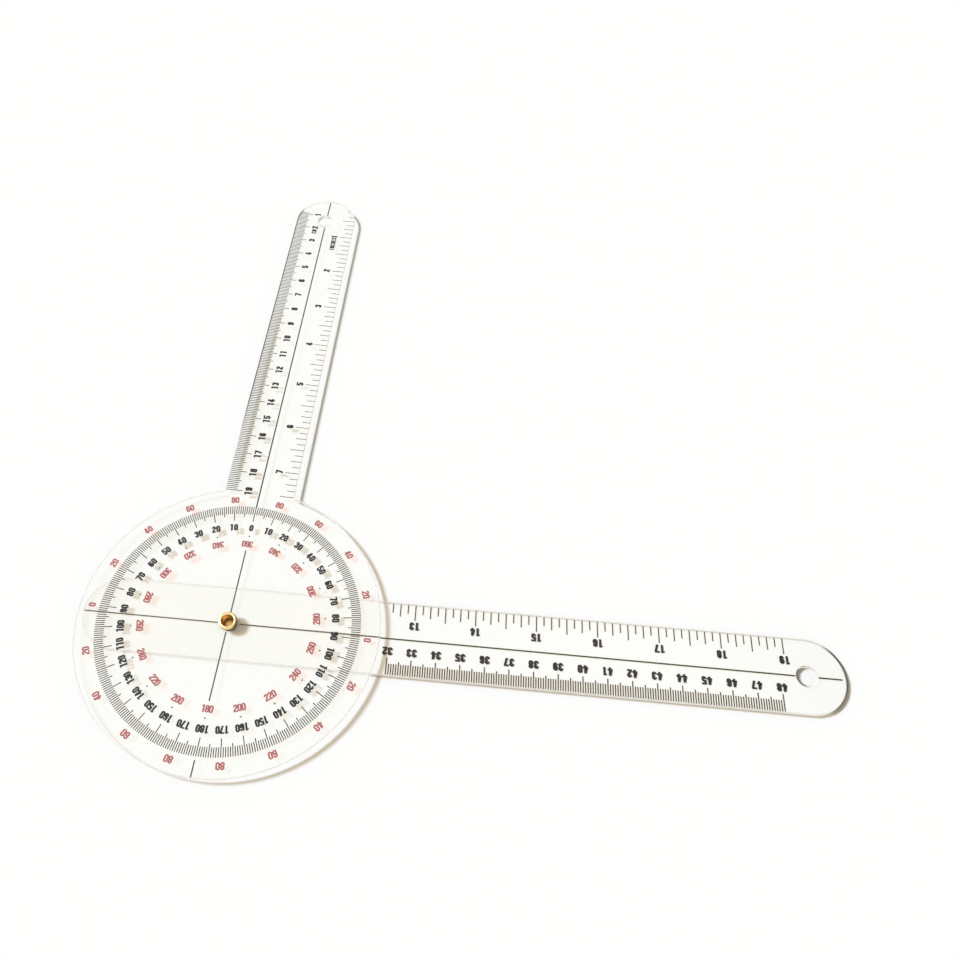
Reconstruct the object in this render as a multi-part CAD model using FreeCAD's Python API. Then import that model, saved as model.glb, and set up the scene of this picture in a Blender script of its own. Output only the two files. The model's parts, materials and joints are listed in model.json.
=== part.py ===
"""Angle finder with arms, in millimetres.

Two clear plastic sheets turn on one hollow brass eyelet, which is closed at its lower end. The upper
sheet is a round dial with a fixed arm cut in one piece, and the lower sheet is a straight arm with a
short tail under the dial.

Frame: the origin is on the pivot's axis, level with the moving arm's lower face. +Z is up, towards
the reader of the dial, and +Y runs along the fixed arm. The moving arm lies below the dial, at the
angle it has in the photograph.
"""
import math
import os

import FreeCAD
import Part

# Driving sizes of the two sheets
sheet_thickness = 2.0
dial_radius = 63.5
arm_width = 32.0
arm_reach = 253.5            # pivot to tip, the same on both arms
tail_inset = 1.5             # the tail's round end lies this far inside the dial's edge
hanging_hole_radius = 4.25
junction_radius = 1.0        # inside corner where the fixed arm leaves the dial
edge_break = 0.3             # small bevel round the cut sheet

# Driving sizes of the eyelet
bore_radius = 2.5
eyelet_wall = 0.35
head_radius = 4.0            # outside of the rolled head on the dial
crest_radius = 3.05          # the head is highest on this ring
head_height = 1.0            # crest of the head above the dial
neck_height = 0.45           # the bore's wall starts to roll outwards at this height above the dial
rim_height = 0.05            # upright edge of the head on the dial
foot_radius = 3.3            # outside of the closed end under the moving arm
foot_thickness = 0.3
foot_round = 0.2

# Clearances
sheet_gap = 0.1              # between the two sheets
end_play = 0.05              # between the moving arm and the closed end
turning_clearance = 0.05     # round the barrel in the moving arm
seat_clearance = 0.01        # round the barrel in the dial, which grips it

# Pose in the photograph
opening_angle = 87.72        # degrees from the fixed arm to the moving arm, clockwise from above

# Levels and radii that follow
arm_bottom = 0.0
arm_top = arm_bottom + sheet_thickness
dial_bottom = arm_top + sheet_gap
dial_top = dial_bottom + sheet_thickness
tip_radius = arm_width / 2
tail_reach = dial_radius - tail_inset
barrel_radius = bore_radius + eyelet_wall

UP = FreeCAD.Vector(0, 0, 1)
PIVOT = FreeCAD.Vector(0, 0, 0)
QUARTER_WEIGHT = math.sqrt(0.5)  # of the middle pole, which makes three poles a quarter of an ellipse


def point(x, y, z=0.0):
    return FreeCAD.Vector(x, y, z)


def on_circle(centre, radius, degrees):
    """The point of a level circle at an angle from +X."""
    turn = math.radians(degrees)
    return centre + point(radius * math.cos(turn), radius * math.sin(turn))


def arc(centre, radius, first, last):
    """A level arc from one angle to another, in degrees, turning anticlockwise."""
    middle = (first + last) / 2
    return Part.Arc(
        on_circle(centre, radius, first),
        on_circle(centre, radius, middle),
        on_circle(centre, radius, last),
    ).toShape()


def line(start, end):
    return Part.makeLine(start, end)


def sheet(edges, bottom):
    """Cut a sheet to an outline drawn at level zero, and lay it at its height."""
    blank = Part.Face(Part.Wire(Part.__sortEdges__(edges))).extrude(UP * sheet_thickness)
    blank.translate(UP * bottom)
    return blank


def hole(x, y, radius, bottom):
    """A cutter through the whole thickness of one sheet."""
    start = point(x, y, bottom - sheet_thickness)
    return Part.makeCylinder(radius, 3 * sheet_thickness, start, UP)


def bevel(solid, bottom):
    """Break the outline's edges on both faces of a sheet."""
    top = bottom + sheet_thickness
    edges = []
    for edge in solid.Edges:
        box = edge.BoundBox
        level = box.ZLength < edge_break / 2
        on_face = min(abs(box.ZMin - bottom), abs(box.ZMin - top)) < edge_break / 2
        if level and on_face:
            edges.append(edge)
    return solid.makeChamfer(edge_break, edges)


def round_junctions(solid, foot):
    """Give the two inside corners between dial and arm their small radius."""
    corners = []
    for edge in solid.Edges:
        box = edge.BoundBox
        upright = box.ZLength > sheet_thickness / 2 and box.XLength < edge_break
        beside = abs(abs(box.XMin) - tip_radius) < edge_break and abs(box.YMin - foot) < edge_break
        if upright and beside:
            corners.append(edge)
    return solid.makeFillet(junction_radius, corners)


def protractor():
    """The dial with its fixed arm."""
    foot = math.sqrt(dial_radius ** 2 - tip_radius ** 2)
    tip = point(0, arm_reach - tip_radius)
    half_mouth = math.degrees(math.asin(tip_radius / dial_radius))
    outline = [
        arc(PIVOT, dial_radius, 90 + half_mouth, 450 - half_mouth),
        line(point(tip_radius, foot), on_circle(tip, tip_radius, 0)),
        arc(tip, tip_radius, 0, 180),
        line(on_circle(tip, tip_radius, 180), point(-tip_radius, foot)),
    ]
    body = round_junctions(sheet(outline, dial_bottom), foot)
    body = bevel(body, dial_bottom)
    body = body.cut(hole(0, 0, barrel_radius + seat_clearance, dial_bottom))
    return body.cut(hole(tip.x, tip.y, hanging_hole_radius, dial_bottom))


def moving_arm():
    """The lower arm, drawn along +X and then opened to its angle."""
    tip = point(arm_reach - tip_radius, 0)
    tail = point(tip_radius - tail_reach, 0)
    outline = [
        arc(tip, tip_radius, -90, 90),
        line(on_circle(tip, tip_radius, 90), on_circle(tail, tip_radius, 90)),
        arc(tail, tip_radius, 90, 270),
        line(on_circle(tail, tip_radius, 270), on_circle(tip, tip_radius, -90)),
    ]
    arm = bevel(sheet(outline, arm_bottom), arm_bottom)
    arm = arm.cut(hole(0, 0, barrel_radius + turning_clearance, arm_bottom))
    arm = arm.cut(hole(tip.x, tip.y, hanging_hole_radius, arm_bottom))
    arm.rotate(PIVOT, UP, 90 - opening_angle)
    return arm


def quarter(start, corner, end):
    """A quarter of an ellipse in the XZ plane, which rounds a square corner."""
    curve = Part.BezierCurve()
    curve.setPoles([point(x, 0, z) for x, z in (start, corner, end)])
    curve.setWeight(2, QUARTER_WEIGHT)
    return curve.toShape()


def chain(corners):
    """Straight lines from corner to corner in the XZ plane."""
    points = [point(x, 0, z) for x, z in corners]
    return [line(a, b) for a, b in zip(points, points[1:])]


def pivot_eyelet():
    """The hollow eyelet. Its wall rises from a closed foot and rolls outwards over a crest that lies
    near the bore, then falls in a longer slope to the dial."""
    crest = dial_top + head_height
    neck = dial_top + neck_height
    rim = dial_top + rim_height
    seat = arm_bottom - end_play
    foot = seat - foot_thickness
    head = [
        quarter((bore_radius, neck), (bore_radius, crest), (crest_radius, crest)),
        quarter((crest_radius, crest), (head_radius, crest), (head_radius, rim)),
    ]
    under_head = chain([
        (head_radius, rim),
        (head_radius, dial_top),
        (head_radius - eyelet_wall, dial_top),
        (head_radius - eyelet_wall, rim),
        (crest_radius, crest - eyelet_wall),
        (barrel_radius, neck),
        (barrel_radius, seat),
        (foot_radius, seat),
        (foot_radius, foot + foot_round),
    ])
    foot_edge = quarter(
        (foot_radius, foot + foot_round),
        (foot_radius, foot),
        (foot_radius - foot_round, foot),
    )
    hollow = chain([
        (foot_radius - foot_round, foot),
        (0, foot),
        (0, seat),
        (bore_radius, seat),
        (bore_radius, neck),
    ])
    profile = Part.Face(Part.Wire(Part.__sortEdges__(head + under_head + [foot_edge] + hollow)))
    return profile.revolve(PIVOT, UP, 360)


def main():
    os.makedirs("parts", exist_ok=True)
    for name, make in (
        ("protractor", protractor),
        ("moving_arm", moving_arm),
        ("pivot_eyelet", pivot_eyelet),
    ):
        shape = make()
        assert shape.isValid() and len(shape.Solids) == 1, name
        shape = shape.Solids[0]
        shape.exportStep("parts/%s.step" % name)
        print(name, "volume", round(shape.Volume, 1), "mm3")


main()
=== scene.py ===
"""Looks of the angle finder: clear plastic sheets, printed scales and a brass eyelet."""

import json
import math

import bmesh
import bpy
from mathutils import Euler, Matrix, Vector
from mathutils.geometry import delaunay_2d_cdt


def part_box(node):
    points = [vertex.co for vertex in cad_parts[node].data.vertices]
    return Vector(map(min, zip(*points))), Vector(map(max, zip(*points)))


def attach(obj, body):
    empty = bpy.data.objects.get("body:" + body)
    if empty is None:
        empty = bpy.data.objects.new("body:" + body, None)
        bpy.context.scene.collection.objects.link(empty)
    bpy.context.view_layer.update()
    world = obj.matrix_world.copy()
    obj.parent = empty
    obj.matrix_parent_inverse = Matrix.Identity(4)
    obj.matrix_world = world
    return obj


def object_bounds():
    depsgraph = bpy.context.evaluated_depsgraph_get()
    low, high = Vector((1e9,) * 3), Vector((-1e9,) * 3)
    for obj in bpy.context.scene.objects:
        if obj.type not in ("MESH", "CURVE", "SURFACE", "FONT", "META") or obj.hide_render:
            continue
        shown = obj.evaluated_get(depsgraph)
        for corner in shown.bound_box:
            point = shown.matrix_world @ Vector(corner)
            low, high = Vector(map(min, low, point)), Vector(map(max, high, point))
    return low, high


MM = 0.001

# Camera that took the photograph, in the frame of the tool
CAMERA_PLACE_MM = (80.903, -106.534, 309.874)
CAMERA_TURN_DEG = (27.49, -0.246, 7.693)
LENS_CENTRE_PX = (390.0, 530.0)
FOCAL_PX = 783.4
PHOTO_PX = 960
SENSOR_MM = 36.0
CLIP_START = 0.01            # metres

# Light and floor
KEY_DIRECTION = (-0.689, 0.142, 0.71)
KEY_WIDTH_DEG = 13.0
KEY_STRENGTH = 3.61
KEY_COLOUR = (0.885, 0.93, 1.0)
FILL_COLOUR = (0.3, 0.262, 0.2)
DARK_SIDE = (0.85, 0.25, 0.0)
DARK_SIDE_COLOUR = (0.1, 0.09, 0.07)
DARK_SIDE_EDGE = (0.4, 0.7)  # cosines of the angle from the dark side's middle
WHITE = (1.0, 1.0, 1.0)
FLOOR_COLOUR = (0.98, 0.98, 0.975)
FLOOR_SIZE = 3.0             # metres

# Colours of the tool, where a shade is what lamps shine through
PLASTIC_TINT = (0.99, 0.99, 0.97)
PLASTIC_SHADE = (0.997, 0.997, 0.992)
WALL_FROST = (0.97, 0.97, 0.95)
# near-black frost painted on some cut walls: a painted shadow line
PAINTED_SHADOW_FROST = (0.08, 0.075, 0.055)
WALL_TINT = (0.985, 0.985, 0.975)
FROSTING = 0.9               # share of the cut walls' look that is frosted, and the rest is clear
WALL_LIT = (0.95, 0.94, 0.92)
DIAL_SHADE = (0.42, 0.35, 0.26)
ARM_SHADE = (0.1, 0.085, 0.06)
BAND_SHADE = (0.68, 0.645, 0.575)
COVERED_SHADE = (0.86, 0.84, 0.8)
BLACK_SHADE = (0.8, 0.745, 0.68)
LINE_SHADE = (0.92, 0.91, 0.88)
ARM_BLACK_SHADE = (0.6, 0.52, 0.42)  # the moving arm lies on the table, so its print's shadows are dense
ARM_LINE_SHADE = (0.88, 0.83, 0.74)
RED_SHADE = (0.99, 0.88, 0.84)
FAINT_SHADE = (0.97, 0.96, 0.94)
PLASTIC_IOR = 1.49
BLACK_INK = (0.007, 0.006, 0.004)
LINE_INK = (0.05, 0.04, 0.02)
RED_INK = (0.445, 0.125, 0.12)
DOT_INK = (0.16, 0.16, 0.15)
BRASS = (0.86, 0.63, 0.3)
# colour of the brass under painted shade, where something hides it
SHADED_BRASS = (0.09, 0.048, 0.008)
SHADE_REACH = 2.5          # millimetres to whatever hides the brass, over which painted shade darkens it
BARREL_SHADE = (0.3, 0.17, 0.04)  # a shade of the eyelet stands in for light thrown by its brass
CREST_SHADE = (0.82, 0.76, 0.66)
CREST = (4.3, 5.0)           # heights in millimetres between which the eyelet's shadow grows weaker

# Surfaces of the tool, where a grain is the scale and detail of a noise
WALL_SLOPE = 0.9             # a face is a cut wall where its normal rises less than this
SHEET_ROUGHNESS = 0.02
FROM_BEHIND = 0.5            # share of a frosted surface's light that comes through it
INK_ROUGHNESS = 0.5
INK_GLOSS = 0.1
INK_GRAIN = (900.0, 3.0)
INK_TONES = ((0.3, 0.85), (0.75, 1.25))  # values of the noise, and the ink's tone at each
BRASS_GRAIN = (700.0, 4.0)
BRASS_GRAIN_SHARE = 0.2
# openness below which the brass takes the full painted shade, and above which it is its own colour
SHADED_BELOW = 0.45
BRIGHT_ABOVE = 0.95
BRASS_ROUGHNESS = (0.25, 0.45)

# Places where the looks of the walls and the print change, in millimetres
DIAL_ENDS = (58.0, 66.0)     # the fixed arm leaves the dial between these
BAND_RISES = (62.0, 85.0)    # its left wall also holds back light that enters, from here
BAND_FALLS = (140.0, 190.0)  # to here
SHADOW_LINE_RISES = (85.0, 115.0)   # and carries a painted shadow line to the eye beyond these
TIP_STARTS = (200.0, 215.0)
TIP_SIDES = (9.0, 6.0)       # the tip's hole and middle lie between these, on both sides
LEFT_SIDE = (-12.5, -15.0)   # the fixed arm's left wall lies beyond these
ARM_LIT = (3.0, 3.3)         # lamps shine through the fixed arm's wall above this height
FAR_END = (243.0, 249.0)     # the moving arm's round end has a painted shadow on its wall, and casts a dense shadow, beyond these
HOLE_WALL = (8.0, 6.0)       # a hanging hole's wall lies within these distances from the hole's middle
HOLE_SHADOW_SIDE = (238.0, 235.0)   # the moving arm's has a painted shadow on the side of the pivot
FIXED_HOLE_SHADOW_SIDE = (0.0, -4.2)  # the fixed arm's has a fainter painted shadow on its left side
FIXED_HOLE_SHADOW_SHARE = 0.6
COVERED = (63.1, 62.4)       # the moving arm is under the dial within these distances from the pivot
DIAL_WALL = (70.0, 66.0)     # and the dial's own wall lies within these
DIAL_WALL_CLEAR = 0.4        # this share of its look is clear rather than frosted
COVERED_CLEAR = 0.45
FADE = (70.0, 170.0)         # the fixed arm's print casts a weaker shadow towards its tip
LOWER_FADE = (-10.0, -45.0)  # and so does the dial's towards its lower edge

# Figures, in parts of their height; a nib is the pen's width in upright and in level strokes
WIDTH = 0.58
RULER_NIB = (0.275, 0.22)
DIAL_NIB = (0.265, 0.205)
WORD_NIB = (0.25, 0.19)
RED_NIB = (0.235, 0.19)
MIDDLE = WIDTH / 2
WAIST = 0.52
BOWL = 0.545                 # crest of the six's ring
BEND = 0.16
LIP = 0.07
BEND_STEPS = 5
STEM_INSET = 0.12            # the upright of 1 and 4, from the right side
FLAG = 0.14                  # reach of the 1's flag
FOUR_BAR = 0.18              # lower edges of the level bars
LETTER_BAR = 0.43
FIVE_START = 0.44            # the five's bowl leaves its upright here and crests a little higher
FIVE_CREST = 0.56
EIGHT_INSET = 0.012          # the eight's upper ring is this much narrower on each side
SAME_POINT = 1e-4            # points of a path that are closer than this are one
MERGED = 1e-5                # and so are corners of shapes that are joined

# Print on the sheets, in millimetres
INK_SUNK = 0.01
INK_PROUD = 0.02
FIXED_ZERO = 252.7           # from the pivot to the fixed arm's zero, near its tip
MOVING_ZERO = 253.0          # from the pivot to the moving arm's zero, if its scales ran on to it
INCH = 25.4
DIAL_LINE_WIDTH = 0.54
LINE_WIDTH = 0.62
TICK_WIDTH = 0.38
MOVING_TICK_WIDTH = 0.47
INCH_TICK_WIDTH = 0.32
MOVING_INCH_TICK_WIDTH = 0.45
NUMBER_HEIGHT = 3.4
RULER_PITCH = 2.15
MOVING_NUMBER_HEIGHT = 3.5
MOVING_RULER_PITCH = 2.22
WORD_HEIGHT = 2.6
WORD_PITCH = 1.62
TICK_INSET = 0.3             # the rulers' ticks start this far inside the arm's edge

# Rulers: the marks that are printed, and how far from the centre line their ticks end
FIXED_MM = range(9, 191)
FIXED_MM_ENDS = ((10, 8.2), (5, 9.6), (1, 10.6))
FIXED_EIGHTHS = range(3, 61)
FIXED_EIGHTH_ENDS = ((4, 9.2), (2, 10.6), (1, 11.8))
FIXED_CM = range(1, 20)
FIXED_INCHES = range(1, 8)
MOVING_MM = range(320, 481)
MOVING_MM_ENDS = ((160, 8.1), (10, 8.5), (5, 9.7), (1, 10.7))  # the first and the last are longest
MOVING_EIGHTHS = range(101, 153)
MOVING_EIGHTH_ENDS = ((4, 8.8), (2, 10.2), (1, 11.7))
MOVING_CM = range(32, 49)
MOVING_INCHES = range(13, 20)

# Rows of the rulers' figures across the arms, and places along the fixed arm
FIXED_CM_ROW = -5.35
FIXED_INCH_ROW = 6.5
MOVING_CM_ROW = -5.4
MOVING_INCH_ROW = 6.35
CM_SHIFT = 0.2               # the centimetres' figures stand this far beyond their ticks
CM_WORD = 23.0               # from the zero to the middle of each word
INCH_WORD = 31.0

# Ends of the centre lines
HUB = 4.3                    # they stop this far from the pivot
HOLE_MARGIN = 0.3            # and this far from a hanging hole
LINE_INSET = 0.4             # and this far inside the fixed arm's tip and the moving arm's tail
MOVING_LINE_INSET = 1.6      # and this far inside the moving arm's tip
RIM_INSET = 0.3              # and this far inside the dial's lower edge
CROSS = 33.5                 # the dial's cross reaches this far along the fixed arm's line
LOWER_LINE = 56.6            # and the line at its lower edge starts here

# Dial
RING_OUTSIDE = 55.2
RING_ENDS = ((10, 47.9), (5, 50.0), (1, 51.3))
RING_TICK = 0.4
RING_HEIGHT = 3.2
PAIR_PITCH = 1.9
TRIPLE_PITCH = 1.76
RED_HEIGHT = 3.1
RED_PAIR_PITCH = 1.8
RED_TRIPLE_PITCH = 1.62
BLACK_RADIUS = 44.6
INNER_RED_RADIUS = 36.6
OUTER_RED_RADIUS = 58.4
DOT_RADIUS = 40.4
DOT_SIZE = 0.75
DOT_CORNERS = 12

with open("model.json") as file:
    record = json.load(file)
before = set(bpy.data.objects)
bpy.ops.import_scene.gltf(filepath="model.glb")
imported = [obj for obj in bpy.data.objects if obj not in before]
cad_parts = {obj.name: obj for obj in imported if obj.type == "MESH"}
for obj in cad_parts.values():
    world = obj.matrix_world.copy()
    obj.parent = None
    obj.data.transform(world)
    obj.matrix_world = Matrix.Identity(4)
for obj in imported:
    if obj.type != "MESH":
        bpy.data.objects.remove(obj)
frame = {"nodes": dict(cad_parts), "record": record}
cad_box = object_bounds()
dial_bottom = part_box("protractor")[0][2] / MM
arm_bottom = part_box("moving_arm")[0][2] / MM
dial_radius = -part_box("protractor")[0][0] / MM
arm_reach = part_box("protractor")[1][1] / MM
tail_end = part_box("moving_arm")[0][0] / MM
mounts = {m["name"]: m for m in frame["record"]["mounts"]}
moving_hole = mounts["moving_arm_hole"]["pos_m"]
hole_reach = mounts["fixed_arm_hole"]["pos_m"][1] / MM
hole_gap = mounts["fixed_arm_hole"]["dims"]["r_mm"] + HOLE_MARGIN
tip_radius = arm_reach - hole_reach
scale_edge = tip_radius - TICK_INSET
arm_turn = math.atan2(moving_hole[1], moving_hole[0])


# Materials

def new_material(name):
    material = bpy.data.materials.new(name)
    material.use_nodes = True
    nodes = material.node_tree.nodes
    nodes.clear()
    out = nodes.new("ShaderNodeOutputMaterial")
    return material, nodes, material.node_tree.links, out


def combined(nodes, links, operation, *values):
    """One Math node on values that are sockets or numbers."""
    node = nodes.new("ShaderNodeMath")
    node.operation = operation
    for place, value in enumerate(values):
        if isinstance(value, float):
            node.inputs[place].default_value = value
        else:
            links.new(value, node.inputs[place])
    return node.outputs[0]


def mixed(nodes, links, factor, first, second):
    """Two shaders mixed by a factor that is a socket or a number."""
    mix = nodes.new("ShaderNodeMixShader")
    if isinstance(factor, float):
        mix.inputs[0].default_value = factor
    else:
        links.new(factor, mix.inputs[0])
    links.new(first.outputs[0], mix.inputs[1])
    links.new(second.outputs[0], mix.inputs[2])
    return mix


def coloured(nodes, kind, colour):
    """A plain shader of one colour."""
    shader = nodes.new(kind)
    shader.inputs["Color"].default_value = (*colour, 1)
    return shader


def transparent(nodes, colour):
    return coloured(nodes, "ShaderNodeBsdfTransparent", colour)


def frosted(nodes, links, colour):
    """A rough surface that takes light from both of its sides."""
    front = coloured(nodes, "ShaderNodeBsdfDiffuse", colour)
    behind = coloured(nodes, "ShaderNodeBsdfTranslucent", colour)
    return mixed(nodes, links, FROM_BEHIND, front, behind)


def lets_lamps_through(nodes, links, seen, shade):
    """The first shader for the eye, and the second for lamps and for light on its way to other things."""
    path = nodes.new("ShaderNodeLightPath").outputs
    lit = combined(nodes, links, "MAXIMUM", path["Is Shadow Ray"], path["Is Diffuse Ray"])
    return mixed(nodes, links, lit, seen, shade)


def places(nodes, links):
    """The shaded point's places along X, Y and Z, in metres."""
    coordinates = nodes.new("ShaderNodeTexCoord")
    split = nodes.new("ShaderNodeSeparateXYZ")
    links.new(coordinates.outputs["Object"], split.inputs[0])
    return split.outputs["X"], split.outputs["Y"], split.outputs["Z"]


def distance_from(nodes, links, x, y, point=(0.0, 0.0)):
    """The shaded point's level distance from a point, in metres."""
    steps = [combined(nodes, links, "SUBTRACT", a, b) for a, b in zip((x, y), point)]
    squares = [combined(nodes, links, "MULTIPLY", a, a) for a in steps]
    return combined(nodes, links, "SQRT", combined(nodes, links, "ADD", *squares))


def rising(nodes, links, value, span, scale=MM):
    """Goes from 0 to 1 between two places in millimetres, and falls where the second is the lower."""
    rise = nodes.new("ShaderNodeMapRange")
    rise.interpolation_type = "SMOOTHSTEP"
    rise.inputs["From Min"].default_value = span[0] * scale
    rise.inputs["From Max"].default_value = span[1] * scale
    links.new(value, rise.inputs["Value"])
    return rise.outputs["Result"]


def grain(nodes, links, scale, detail):
    """Noise that rides with the piece."""
    coordinates = nodes.new("ShaderNodeTexCoord")
    noise = nodes.new("ShaderNodeTexNoise")
    noise.inputs["Scale"].default_value = scale
    noise.inputs["Detail"].default_value = detail
    links.new(coordinates.outputs["Object"], noise.inputs["Vector"])
    return noise.outputs["Fac"]


def toned(nodes, links, value, *stops):
    """A colour that runs between two stops, each a position and a colour."""
    tone = nodes.new("ShaderNodeValToRGB")
    for element, (position, colour) in zip(tone.color_ramp.elements, stops):
        element.position = position
        element.color = (*colour, 1)
    links.new(value, tone.inputs[0])
    return tone.outputs[0]


def clear_plastic():
    """Clear sheet with frosted cut walls. Lamps shine through the faces, and the walls hold them back
    where their light leaves the sheet. The fixed arm's left wall also holds back light that enters it
    near the dial, and beyond that carries a painted shadow line: a dark frost on the wall, as on the
    moving arm's round end and on the pivot side of its hanging hole."""
    material, nodes, links, out = new_material("clear_plastic")

    def where(value, span):
        return rising(nodes, links, value, span)

    def both(first, second):
        return combined(nodes, links, "MULTIPLY", first, second)

    def either(first, second):
        return combined(nodes, links, "MAXIMUM", first, second)

    glass = nodes.new("ShaderNodeBsdfPrincipled")
    glass.inputs["Base Color"].default_value = (*PLASTIC_TINT, 1)
    glass.inputs["Roughness"].default_value = SHEET_ROUGHNESS
    glass.inputs["IOR"].default_value = PLASTIC_IOR
    glass.inputs["Transmission Weight"].default_value = 1.0
    geometry = nodes.new("ShaderNodeNewGeometry")
    split = nodes.new("ShaderNodeSeparateXYZ")
    links.new(geometry.outputs["True Normal"], split.inputs[0])
    level = combined(nodes, links, "ABSOLUTE", split.outputs["Z"])
    upright = combined(nodes, links, "LESS_THAN", level, WALL_SLOPE)

    # Parts of the walls, as masks by their place
    x, y, z = places(nodes, links)
    distance = distance_from(nodes, links, x, y)
    left = where(x, LEFT_SIDE)
    arm = where(y, DIAL_ENDS)
    covered = where(distance, COVERED)
    banded = both(left, combined(nodes, links, "SUBTRACT", where(y, BAND_RISES), where(y, BAND_FALLS)))
    hole = where(distance_from(nodes, links, x, y, tuple(moving_hole[:2])), HOLE_WALL)
    far = either(where(x, FAR_END), both(hole, where(x, HOLE_SHADOW_SIDE)))
    fixed_hole = where(distance_from(nodes, links, x, y, (0.0, hole_reach * MM)), HOLE_WALL)
    fixed_hole = both(both(fixed_hole, where(x, FIXED_HOLE_SHADOW_SIDE)), FIXED_HOLE_SHADOW_SHARE)
    # where the walls carry a painted shadow line to the eye
    painted_shadow = either(either(both(left, where(y, SHADOW_LINE_RISES)), far), fixed_hole)
    across = combined(nodes, links, "ABSOLUTE", x)
    tip = both(where(across, TIP_SIDES), where(y, TIP_STARTS))
    lit = either(tip, both(arm, where(z, ARM_LIT)))
    thin = either(both(where(distance, DIAL_WALL), DIAL_WALL_CLEAR), both(covered, COVERED_CLEAR))

    # What the eye sees, with a painted shadow on some walls
    # painted shadow: a dark frost on these walls stands in for the shadow cast beside them
    walls = mixed(nodes, links, painted_shadow, frosted(nodes, links, WALL_FROST), frosted(nodes, links, PAINTED_SHADOW_FROST))
    walls = mixed(nodes, links, thin, walls, transparent(nodes, WALL_TINT))
    cut = mixed(nodes, links, FROSTING, glass, walls)
    seen = mixed(nodes, links, upright, glass, cut)

    # What lamps shine through, where their light leaves the sheet and where it enters
    dark = either(arm, far)
    side = mixed(nodes, links, dark, transparent(nodes, DIAL_SHADE), transparent(nodes, ARM_SHADE))
    side = mixed(nodes, links, covered, side, transparent(nodes, COVERED_SHADE))
    leaves = mixed(nodes, links, lit, side, transparent(nodes, WALL_LIT))
    enters = mixed(nodes, links, banded, transparent(nodes, WALL_LIT), transparent(nodes, BAND_SHADE))
    wall = mixed(nodes, links, geometry.outputs["Backfacing"], leaves, enters)
    shade = mixed(nodes, links, upright, transparent(nodes, PLASTIC_SHADE), wall)
    links.new(lets_lamps_through(nodes, links, seen, shade).outputs[0], out.inputs["Surface"])
    return material


def ink(name, colour, shade, faint=FAINT_SHADE):
    """Printed ink: a thin matt film whose tone varies a little and which lets some light through, more
    of it along the fixed arm and at the dial's lower edge."""
    material, nodes, links, out = new_material(name)
    shader = nodes.new("ShaderNodeBsdfPrincipled")
    shader.inputs["Roughness"].default_value = INK_ROUGHNESS
    shader.inputs["Specular IOR Level"].default_value = INK_GLOSS
    stops = [(position, [tone * c for c in colour]) for position, tone in INK_TONES]
    tone = toned(nodes, links, grain(nodes, links, *INK_GRAIN), *stops)
    links.new(tone, shader.inputs["Base Color"])
    _, y, _ = places(nodes, links)
    above = rising(nodes, links, y, FADE)
    below = rising(nodes, links, y, LOWER_FADE)
    fade = combined(nodes, links, "MAXIMUM", above, below)
    passed = mixed(nodes, links, fade, transparent(nodes, shade), transparent(nodes, faint))
    links.new(lets_lamps_through(nodes, links, shader, passed).outputs[0], out.inputs["Surface"])
    return material


def brass():
    """Rolled brass, bright on its crest and darkened by painted shade in its hollow and where it meets the
    sheets.
    """
    material, nodes, links, out = new_material("eyelet_brass")
    shader = nodes.new("ShaderNodeBsdfPrincipled")
    shader.inputs["Metallic"].default_value = 1.0
    noise = grain(nodes, links, *BRASS_GRAIN)
    # ambient occlusion paints shade on the brass in its hollow and against the sheets, with a little random
    # grain
    hidden = nodes.new("ShaderNodeAmbientOcclusion")
    hidden.inputs["Distance"].default_value = SHADE_REACH * MM
    grain_and_shade = combined(nodes, links, "MULTIPLY_ADD", noise, BRASS_GRAIN_SHARE, hidden.outputs["AO"])
    tone = toned(nodes, links, grain_and_shade, (SHADED_BELOW, SHADED_BRASS), (BRIGHT_ABOVE, BRASS))
    links.new(tone, shader.inputs["Base Color"])
    rough = nodes.new("ShaderNodeMapRange")
    rough.inputs["To Min"].default_value = BRASS_ROUGHNESS[0]
    rough.inputs["To Max"].default_value = BRASS_ROUGHNESS[1]
    links.new(noise, rough.inputs["Value"])
    links.new(rough.outputs[0], shader.inputs["Roughness"])
    _, _, z = places(nodes, links)
    crest = rising(nodes, links, z, CREST)
    shade = mixed(nodes, links, crest, transparent(nodes, BARREL_SHADE), transparent(nodes, CREST_SHADE))
    links.new(lets_lamps_through(nodes, links, shader, shade).outputs[0], out.inputs["Surface"])
    return material


# Figures and letters, drawn with a broad pen in a box one unit high

def bend(start, end, upright_first):
    """Quarter of an ellipse from start to end, without its first point."""
    points = []
    for i in range(1, BEND_STEPS + 1):
        turn = math.pi / 2 * i / BEND_STEPS
        fast, slow = math.sin(turn), 1 - math.cos(turn)
        across, up = (slow, fast) if upright_first else (fast, slow)
        points.append((start[0] + (end[0] - start[0]) * across, start[1] + (end[1] - start[1]) * up))
    return points


def unit(start, end):
    """Direction from one point to another."""
    length = math.hypot(end[0] - start[0], end[1] - start[1])
    return (end[0] - start[0]) / length, (end[1] - start[1]) / length


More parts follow.
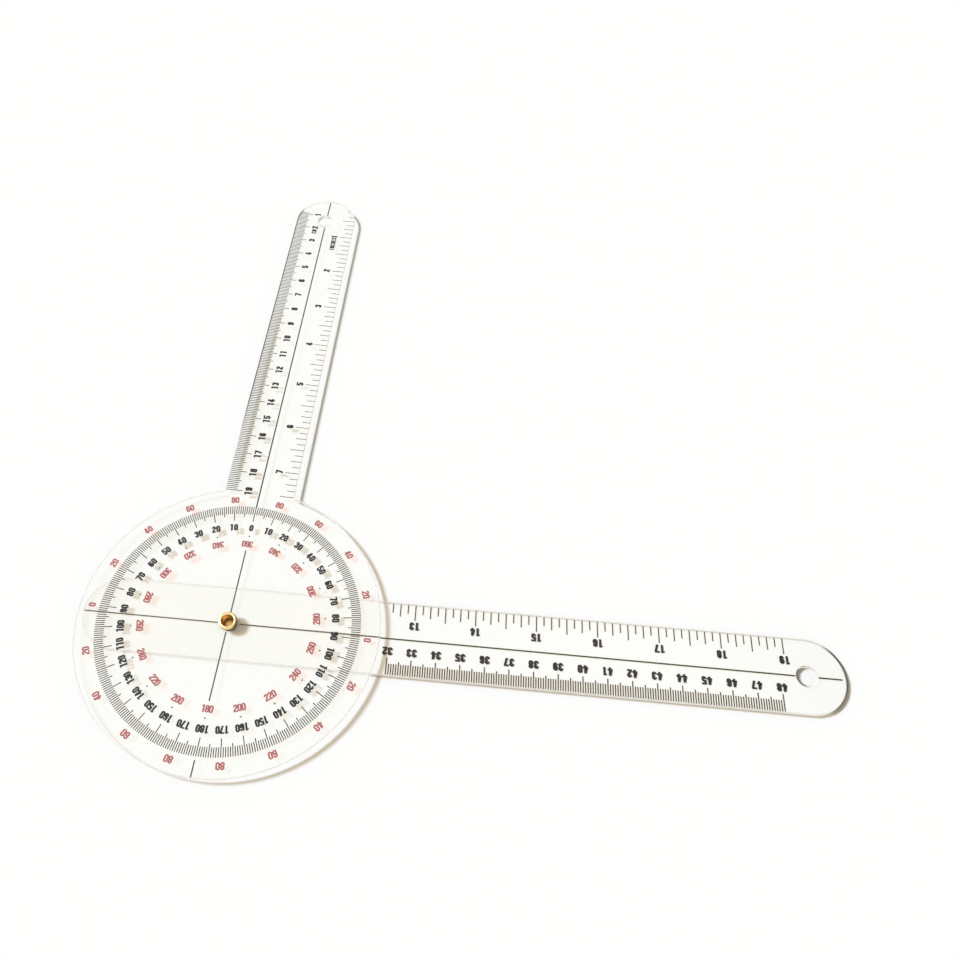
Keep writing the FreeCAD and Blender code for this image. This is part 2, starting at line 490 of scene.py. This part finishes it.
def pen(path, nib, closed=False):
    """The quads that a broad pen covers along a path."""
    path = [p for i, p in enumerate(path) if i == 0 or math.dist(p, path[i - 1]) > SAME_POINT]
    if closed and math.dist(path[0], path[-1]) < SAME_POINT:
        path.pop()
    ways = [unit(a, b) for a, b in zip(path, path[1:] + path[:1])]
    sides = []
    for i, (x, y) in enumerate(path):
        came = ways[i - 1] if closed or i else ways[0]
        goes = ways[i] if closed or i < len(path) - 1 else ways[i - 1]
        dx, dy = came[0] + goes[0], came[1] + goes[1]
        stretch = 2 / (dx * dx + dy * dy)
        half_x, half_y = -dy * stretch * nib[0] / 2, dx * stretch * nib[1] / 2
        sides.append(((x + half_x, y + half_y), (x - half_x, y - half_y)))
    pairs = list(zip(sides, sides[1:]))
    if closed:
        pairs.append((sides[-1], sides[0]))
    return [[a[0], a[1], b[1], b[0]] for a, b in pairs]


def bar(x0, y0, x1, y1):
    return [(x0, y0), (x1, y0), (x1, y1), (x0, y1)]


def mirrored(polygons):
    """Polygons turned half round in their box."""
    return [[(WIDTH - x, 1 - y) for x, y in polygon] for polygon in polygons]


def loop(bottom, top, nib, inset=0.0):
    """A closed ring, straight at its sides and round at its ends."""
    left = nib[0] / 2 + inset
    right = WIDTH - left
    rise = min(BEND, (top - bottom) / 2)
    path = [(MIDDLE, top)] + bend((MIDDLE, top), (right, top - rise), False)
    path += [(right, bottom + rise)] + bend((right, bottom + rise), (MIDDLE, bottom), True)
    path += bend((MIDDLE, bottom), (left, bottom + rise), False)
    path += [(left, top - rise)] + bend((left, top - rise), (MIDDLE, top), True)
    return pen(path, nib, closed=True)


def hook(start, crest, end):
    """A stroke that leaves its start upright, rounds a crest and ends upright on the other side."""
    middle = (MIDDLE, crest)
    return [start] + bend(start, middle, True) + bend(middle, end, False)


def figures(nib):
    """Each figure and letter as a list of polygons that overlap."""
    wide, thin = nib
    left, right = wide / 2, WIDTH - wide / 2
    foot, head = thin / 2, 1 - thin / 2
    over_left = hook((left, head - BEND - LIP), head, (right, head - BEND))
    over_right = hook((right, head - BEND - LIP), head, (left, head - BEND))
    under_right = hook((right, foot + BEND), foot, (left, foot + BEND + LIP))
    under_left = hook((left, foot + BEND), foot, (right, foot + BEND + LIP))
    waist_in = bend((right, WAIST + BEND), (MIDDLE, WAIST), True) + [(MIDDLE - LIP, WAIST)]
    waist_out = [(MIDDLE - LIP, WAIST), (MIDDLE, WAIST)] + bend((MIDDLE, WAIST), (right, WAIST - BEND), False)
    six = pen(over_right + [(left, foot + BEND)], nib) + loop(foot, BOWL, nib)
    left_bar, right_bar = bar(0, 0, wide, 1), bar(WIDTH - wide, 0, WIDTH, 1)
    stem = WIDTH - STEM_INSET - wide
    slant = [(0, 1), (wide, 1), (WIDTH, 0), (WIDTH - wide, 0)]
    valley = [(0, 1), (wide, 1), (MIDDLE, 0.5), (MIDDLE, 0.12)]
    low_bar, high_bar = bar(0, 0, WIDTH, thin), bar(0, 1 - thin, WIDTH, 1)
    five_bowl = hook((left, FIVE_START), FIVE_CREST, (right, FIVE_CREST - BEND))
    return {
        "0": loop(foot, head, nib),
        "1": [bar(stem, 0, stem + wide, 1),
              [(stem - FLAG, 0.74), (stem, 0.8), (stem + 0.06, 1), (stem, 1), (stem - FLAG, 0.88)]],
        "2": pen(over_left + [(right, 0.66), (left + 0.02, 0.24), (left + 0.02, foot)], nib) + [low_bar],
        "3": pen(over_left + waist_in, nib) + pen(waist_out + under_right, nib),
        "4": [bar(0, FOUR_BAR, WIDTH + 0.02, FOUR_BAR + thin), bar(stem, 0, stem + wide, 1),
              [(0, FOUR_BAR), (0.17, 0.3), (stem + 0.08, 0.9),
               (stem + 0.08, 1), (stem - 0.02, 1), (0, 0.33)]],
        "5": [high_bar, bar(0, FIVE_START, wide, 1)] + pen(five_bowl + under_right, nib),
        "6": six,
        "7": [high_bar, [(WIDTH - wide, 1 - thin), (0.1, 0), (0.11 + wide, 0), (WIDTH, 1 - thin)]],
        "8": loop(foot, WAIST, nib) + loop(WAIST, head, nib, EIGHT_INSET),
        "9": mirrored(six),
        "C": pen(over_right + under_left, nib),
        "E": [left_bar, bar(0, LETTER_BAR, WIDTH - 0.06, LETTER_BAR + thin), low_bar, high_bar],
        "H": [left_bar, right_bar, bar(0, LETTER_BAR, WIDTH, LETTER_BAR + thin)],
        "I": [bar(MIDDLE - wide / 2, 0, MIDDLE + wide / 2, 1)],
        "M": [left_bar, right_bar, valley, [(WIDTH - x, y) for x, y in valley]],
        "N": [left_bar, right_bar, slant],
        "S": pen(over_right + bend((left, head - BEND), (MIDDLE, WAIST), True)
                 + bend((MIDDLE, WAIST), (right, WAIST - BEND), False) + under_right, nib),
    }


def joined(polygons):
    """The union of flat polygons: its points, and its triangles by their corners' numbers."""
    points, faces = [], []
    for polygon in polygons:
        area = sum(a[0] * b[1] - b[0] * a[1] for a, b in zip(polygon, polygon[1:] + polygon[:1]))
        faces.append(list(range(len(points), len(points) + len(polygon))))
        points += [Vector(p) for p in (polygon if area > 0 else polygon[::-1])]
    flat, _, triangles, _, _, covers = delaunay_2d_cdt(points, [], faces, 1, MERGED)
    return [tuple(p) for p in flat], [tuple(t) for t, cover in zip(triangles, covers) if cover]


def cut_figures(nib):
    return {name: joined(polygons) for name, polygons in figures(nib).items()}


RULER_FIGURES = cut_figures(RULER_NIB)
DIAL_FIGURES = cut_figures(DIAL_NIB)
WORD_FIGURES = cut_figures(WORD_NIB)
RED_FIGURES = cut_figures(RED_NIB)


def words(text, x, y, turn, height=NUMBER_HEIGHT, pitch=RULER_PITCH, face=RULER_FIGURES):
    """Flat shapes of a word centred on a point and turned by an angle in degrees."""
    c, s = math.cos(math.radians(turn)), math.sin(math.radians(turn))
    shapes = []
    for i, letter in enumerate(text):
        shift = (i - (len(text) - 1) / 2) * pitch
        points, triangles = face[letter]
        local = [((px - WIDTH / 2) * height + shift, (py - 0.5) * height) for px, py in points]
        shapes.append(([(x + c * a - s * b, y + s * a + c * b) for a, b in local], triangles))
    return shapes


def stroke(ax, ay, bx, by, width):
    """A straight printed line between two points."""
    way_x, way_y = unit((ax, ay), (bx, by))
    nx, ny = -way_y * width / 2, way_x * width / 2
    return [(ax + nx, ay + ny), (ax - nx, ay - ny), (bx - nx, by - ny), (bx + nx, by + ny)], [(0, 1, 2, 3)]


def dot(x, y, size):
    corners = [math.tau * i / DOT_CORNERS for i in range(DOT_CORNERS)]
    points = [(x + size / 2 * math.cos(a), y + size / 2 * math.sin(a)) for a in corners]
    return points, [tuple(range(DOT_CORNERS))]


def placed(name, data):
    """A new object in the scene."""
    obj = bpy.data.objects.new(name, data)
    bpy.context.scene.collection.objects.link(obj)
    return obj


def print_piece(name, shapes, level, body, material, turn=0.0):
    """One layer of ink on a sheet's lower face, as a thin closed film."""
    c, s = math.cos(turn), math.sin(turn)
    bm = bmesh.new()
    for points, faces in shapes:
        low = (level - INK_PROUD) * MM
        corners = [bm.verts.new(((c * x - s * y) * MM, (s * x + c * y) * MM, low)) for x, y in points]
        for face in faces:
            bm.faces.new([corners[i] for i in face])
    bmesh.ops.delete(bm, geom=[v for v in bm.verts if not v.link_faces], context="VERTS")
    grown = bmesh.ops.extrude_face_region(bm, geom=list(bm.faces))["geom"]
    raised = [g for g in grown if isinstance(g, bmesh.types.BMVert)]
    bmesh.ops.translate(bm, verts=raised, vec=(0, 0, (INK_SUNK + INK_PROUD) * MM))
    bmesh.ops.recalc_face_normals(bm, faces=list(bm.faces))
    mesh = bpy.data.meshes.new(name)
    bm.to_mesh(mesh)
    bm.free()
    mesh.materials.append(material)
    piece = placed(name, mesh)
    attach(piece, body)


# The dial's print

def tick_end(count, ends):
    """Where a tick ends, from pairs of step and end with the largest steps first."""
    return next(end for step, end in ends if count % step == 0)


def around(radius, degrees):
    """A point on the dial, by its angle from the fixed arm, clockwise."""
    turn = math.radians(degrees)
    return radius * math.sin(turn), radius * math.cos(turn)


def ring_ticks():
    shapes = []
    for degrees in range(360):
        end = tick_end(degrees, RING_ENDS)
        shapes.append(stroke(*around(RING_OUTSIDE, degrees), *around(end, degrees), RING_TICK))
    return shapes


def ring_numbers():
    """Black figures, the inner red ones that face the pivot, and the outer red ones."""
    black = words("0", 0, BLACK_RADIUS, 0, RING_HEIGHT, PAIR_PITCH, DIAL_FIGURES)
    red = words("360", 0, INNER_RED_RADIUS, 180, RED_HEIGHT, RED_TRIPLE_PITCH, RED_FIGURES)
    for value in range(10, 190, 10):
        pitch = PAIR_PITCH if value < 100 else TRIPLE_PITCH
        for side in ((1,) if value == 180 else (1, -1)):
            turn = side * value
            black += words(str(value), *around(BLACK_RADIUS, turn), -turn, RING_HEIGHT, pitch, DIAL_FIGURES)
            if value % 20 == 0:
                place = around(INNER_RED_RADIUS, turn)
                red += words(str(360 - value), *place, 180 - turn, RED_HEIGHT, RED_TRIPLE_PITCH, RED_FIGURES)
            else:
                place = around(OUTER_RED_RADIUS, turn)
                red += words(str(abs(90 - value)), *place, -turn, RED_HEIGHT, RED_PAIR_PITCH, RED_FIGURES)
    return black, red


def ring_dots():
    return [dot(*around(DOT_RADIUS, value), DOT_SIZE) for value in range(0, 360, 20)]


# The arms' print

def line_width(start, end):
    """The centre lines are finer under the dial's figures."""
    return DIAL_LINE_WIDTH if max(abs(start), abs(end)) < dial_radius else LINE_WIDTH


def lines_along(spans, upright):
    """The centre line's stretches, along +Y where upright and along +X elsewhere."""
    if upright:
        return [stroke(0, a, 0, b, line_width(a, b)) for a, b in spans]
    return [stroke(a, 0, b, 0, line_width(a, b)) for a, b in spans]


def edge_at(along):
    """Where the ruler's ticks start, which follow the round tip."""
    beyond = along - hole_reach
    if beyond < 0:
        return scale_edge
    return math.sqrt(scale_edge ** 2 - beyond ** 2)


def fixed_arm_print():
    """Lines and figures of the fixed arm, whose two scales count from its tip."""
    lines, text = [], []
    for mm in FIXED_MM:
        y = FIXED_ZERO - mm
        lines.append(stroke(-edge_at(y), y, -tick_end(mm, FIXED_MM_ENDS), y, TICK_WIDTH))
    for eighth in FIXED_EIGHTHS:
        y = FIXED_ZERO - eighth * INCH / 8
        lines.append(stroke(edge_at(y), y, tick_end(eighth, FIXED_EIGHTH_ENDS), y, INCH_TICK_WIDTH))
    for cm in FIXED_CM:
        text += words(str(cm), FIXED_CM_ROW, FIXED_ZERO - 10 * cm + CM_SHIFT, 90)
    text += words("CM", FIXED_CM_ROW, FIXED_ZERO - CM_WORD, 90, WORD_HEIGHT, WORD_PITCH, WORD_FIGURES)
    for inch in FIXED_INCHES:
        text += words(str(inch), FIXED_INCH_ROW, FIXED_ZERO - INCH * inch, 90)
    text += words("INCHES", FIXED_INCH_ROW, FIXED_ZERO - INCH_WORD, 90, WORD_HEIGHT, WORD_PITCH, WORD_FIGURES)
    spans = (
        (arm_reach - LINE_INSET, hole_reach + hole_gap),
        (hole_reach - hole_gap, RING_OUTSIDE),
        (CROSS, HUB),
        (-HUB, -CROSS),
        (-LOWER_LINE, RIM_INSET - dial_radius),
    )
    return lines + lines_along(spans, True), text


def moving_arm_print():
    """The same for the moving arm, along +X, with figures that stand upside down."""
    lines, text = [], []
    for mm in MOVING_MM:
        x = mm - MOVING_ZERO
        lines.append(stroke(x, -scale_edge, x, -tick_end(mm, MOVING_MM_ENDS), MOVING_TICK_WIDTH))
    for eighth in MOVING_EIGHTHS:
        x = eighth * INCH / 8 - MOVING_ZERO
        lines.append(stroke(x, scale_edge, x, tick_end(eighth, MOVING_EIGHTH_ENDS), MOVING_INCH_TICK_WIDTH))
    for cm in MOVING_CM:
        x = 10 * cm - MOVING_ZERO
        text += words(str(cm), x, MOVING_CM_ROW, 180, MOVING_NUMBER_HEIGHT, MOVING_RULER_PITCH)
    for inch in MOVING_INCHES:
        x = INCH * inch - MOVING_ZERO
        text += words(str(inch), x, MOVING_INCH_ROW, 180, MOVING_NUMBER_HEIGHT, MOVING_RULER_PITCH)
    spans = (
        (tail_end + LINE_INSET, -HUB),
        (HUB, hole_reach - hole_gap),
        (hole_reach + hole_gap, arm_reach - MOVING_LINE_INSET),
    )
    return lines + lines_along(spans, False), text


clear = clear_plastic()
black_ink = ink("black_ink", BLACK_INK, BLACK_SHADE)
line_ink = ink("line_ink", LINE_INK, LINE_SHADE)
arm_black_ink = ink("arm_black_ink", BLACK_INK, ARM_BLACK_SHADE, ARM_BLACK_SHADE)
arm_line_ink = ink("arm_line_ink", LINE_INK, ARM_LINE_SHADE, ARM_LINE_SHADE)
red_ink = ink("red_ink", RED_INK, RED_SHADE)
dot_ink = ink("dot_ink", DOT_INK, BLACK_SHADE)

for node in ("protractor", "moving_arm"):
    frame["nodes"][node].material_slots[0].material = clear
frame["nodes"]["pivot_eyelet"].material_slots[0].material = brass()

black_numbers, red_numbers = ring_numbers()
fixed_lines, fixed_text = fixed_arm_print()
moving_lines, moving_text = moving_arm_print()
print_piece("dial_ticks", ring_ticks() + fixed_lines, dial_bottom, "dial", line_ink)
print_piece("dial_numbers", black_numbers + fixed_text, dial_bottom, "dial", black_ink)
print_piece("dial_red_numbers", red_numbers, dial_bottom, "dial", red_ink)
print_piece("dial_dots", ring_dots(), dial_bottom, "dial", dot_ink)
print_piece("arm_ticks", moving_lines, arm_bottom, "arm", arm_line_ink, arm_turn)
print_piece("arm_numbers", moving_text, arm_bottom, "arm", arm_black_ink, arm_turn)


# Floor, light and camera

def floor():
    half = FLOOR_SIZE / 2
    low = cad_box[0][2]
    mesh = bpy.data.meshes.new("floor")
    corners = [(x, y, low) for x, y in bar(-half, -half, half, half)]
    mesh.from_pydata(corners, [], [(0, 1, 2, 3)])
    material, nodes, links, out = new_material("floor")
    shader = coloured(nodes, "ShaderNodeBsdfDiffuse", FLOOR_COLOUR)
    links.new(shader.outputs[0], out.inputs["Surface"])
    mesh.materials.append(material)
    obj = placed("floor", mesh)


def key_lamp():
    lamp = bpy.data.lights.new("key", "SUN")
    lamp.angle = math.radians(KEY_WIDTH_DEG)
    lamp.energy = KEY_STRENGTH
    lamp.color = KEY_COLOUR
    key = placed("key", lamp)
    key.location = Vector(KEY_DIRECTION)
    key.rotation_euler = Vector(KEY_DIRECTION).to_track_quat("Z", "Y").to_euler()


def room():
    """A warm fill that is white to the eye, with a dark side that only gloss mirrors."""
    world = bpy.data.worlds.new("room")
    world.use_nodes = True
    nodes, links = world.node_tree.nodes, world.node_tree.links
    fill = nodes["Background"]
    fill.inputs["Color"].default_value = (*FILL_COLOUR, 1)
    white = coloured(nodes, "ShaderNodeBackground", WHITE)
    dark = coloured(nodes, "ShaderNodeBackground", DARK_SIDE_COLOUR)
    coordinates = nodes.new("ShaderNodeTexCoord")
    facing = nodes.new("ShaderNodeVectorMath")
    facing.operation = "DOT_PRODUCT"
    facing.inputs[1].default_value = Vector(DARK_SIDE).normalized()
    links.new(coordinates.outputs["Generated"], facing.inputs[0])
    side = rising(nodes, links, facing.outputs["Value"], DARK_SIDE_EDGE, scale=1.0)
    path = nodes.new("ShaderNodeLightPath").outputs
    mirrored_side = combined(nodes, links, "MULTIPLY", side, path["Is Glossy Ray"])
    bent = combined(nodes, links, "MAXIMUM", path["Is Glossy Ray"], path["Is Transmission Ray"])
    eye = combined(nodes, links, "MAXIMUM", bent, path["Is Camera Ray"])
    surround = mixed(nodes, links, mirrored_side, white, dark)
    mix = mixed(nodes, links, eye, fill, surround)
    links.new(mix.outputs[0], nodes["World Output"].inputs["Surface"])
    bpy.context.scene.world = world


def camera():
    lens = bpy.data.cameras.new("camera")
    lens.sensor_width = SENSOR_MM
    lens.lens = FOCAL_PX * SENSOR_MM / PHOTO_PX
    lens.shift_x = (PHOTO_PX / 2 - LENS_CENTRE_PX[0]) / PHOTO_PX
    lens.shift_y = (LENS_CENTRE_PX[1] - PHOTO_PX / 2) / PHOTO_PX
    lens.clip_start = CLIP_START
    obj = placed("camera", lens)
    obj.location = Vector(CAMERA_PLACE_MM) * MM
    obj.rotation_euler = Euler([math.radians(a) for a in CAMERA_TURN_DEG], "XYZ")
    bpy.context.scene.camera = obj


floor()
key_lamp()
room()
camera()
bpy.context.scene.view_settings.view_transform = "Standard"
